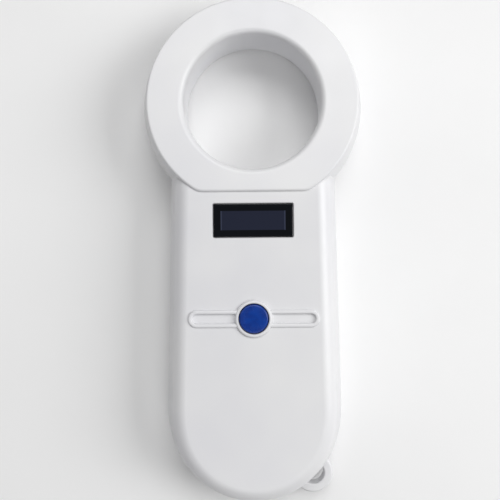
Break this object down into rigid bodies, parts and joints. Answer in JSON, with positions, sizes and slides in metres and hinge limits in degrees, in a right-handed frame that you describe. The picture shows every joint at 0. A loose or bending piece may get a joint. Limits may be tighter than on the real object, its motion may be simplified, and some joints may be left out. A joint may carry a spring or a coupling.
{
  "type": "microchip scanner",
  "caption": "Handheld ring-antenna microchip reader with a drafted plastic handle, display window, push button, charging socket and lanyard eyelet.",
  "frame": {"origin": "middle of the box that holds the scanner, at its base, with the scanner lying on its back", "axes": "+Z out of the front face, +Y from the handle's round end to the ring, +X to the user's right when the ring points away"},
  "size_m": [0.0804, 0.1864, 0.0282],
  "materials": {
    "white_abs": "moulded white ABS, satin to semi-gloss",
    "blue_abs": "moulded cobalt blue ABS, satin",
    "smoked_window": "clear acrylic with a black printed border",
    "panel_glass": "dark display glass",
    "black_plastic": "moulded black, matt",
    "grey_plastic": "moulded grey, matt",
    "polyimide": "amber flexible circuit film",
    "circuit_board": "green solder mask",
    "ceramic": "fired ceramic",
    "plated_steel": "nickel plated",
    "enamelled_copper": "enamelled copper wire",
    "silver_foil": "pouch foil",
    "grey_foam": "closed-cell foam tape",
    "red_insulation": "extruded wire insulation",
    "label_film": "blank polyester label"
  },
  "bodies": {
    "housing": {"front_shell": "white_abs", "rear_shell": "white_abs", "rear_label": "label_film", "display_window": "smoked_window", "window_tape": "black_plastic", "oled_panel": "panel_glass", "oled_carrier": "grey_plastic", "oled_flex": "polyimide", "switch_body": "black_plastic", "main_board": "circuit_board", "mcu_chip": "black_plastic", "rf_chip": "black_plastic", "charge_chip": "black_plastic", "tuning_capacitor_1": "ceramic", "tuning_capacitor_2": "ceramic", "crystal_can": "plated_steel", "buzzer": "black_plastic", "usb_socket": "plated_steel", "coil_header": "black_plastic", "battery_header": "black_plastic", "battery_plug": "black_plastic", "coil_former": "grey_plastic", "antenna_coil": "enamelled_copper", "coil_lead_1": "enamelled_copper", "coil_lead_2": "enamelled_copper", "battery_cell": "silver_foil", "battery_pad": "grey_foam", "battery_lead_red": "red_insulation", "battery_lead_black": "black_plastic", "case_screw_1": "plated_steel", "case_screw_2": "plated_steel", "case_screw_3": "plated_steel", "case_screw_4": "plated_steel", "case_screw_5": "plated_steel", "case_screw_6": "plated_steel", "board_screw_1": "plated_steel", "board_screw_2": "plated_steel", "board_screw_3": "plated_steel", "board_screw_4": "plated_steel"},
    "scan_button": {"scan_button": "blue_abs"},
    "switch_plunger": {"switch_plunger": "plated_steel"}
  },
  "joints": [
    {"name": "button_press", "type": "slide", "parent": "housing", "child": "scan_button", "axis": [0, 0, -1], "range_m": [0, 0.0006], "stiffness_N_per_m": 2000},
    {"name": "plunger_press", "type": "slide", "parent": "housing", "child": "switch_plunger", "axis": [0, 0, -1], "range_m": [0, 0.0006]}
  ],
  "couplings": [
    {"joint": "plunger_press", "follows": "button_press", "ratio": 1}
  ]
}
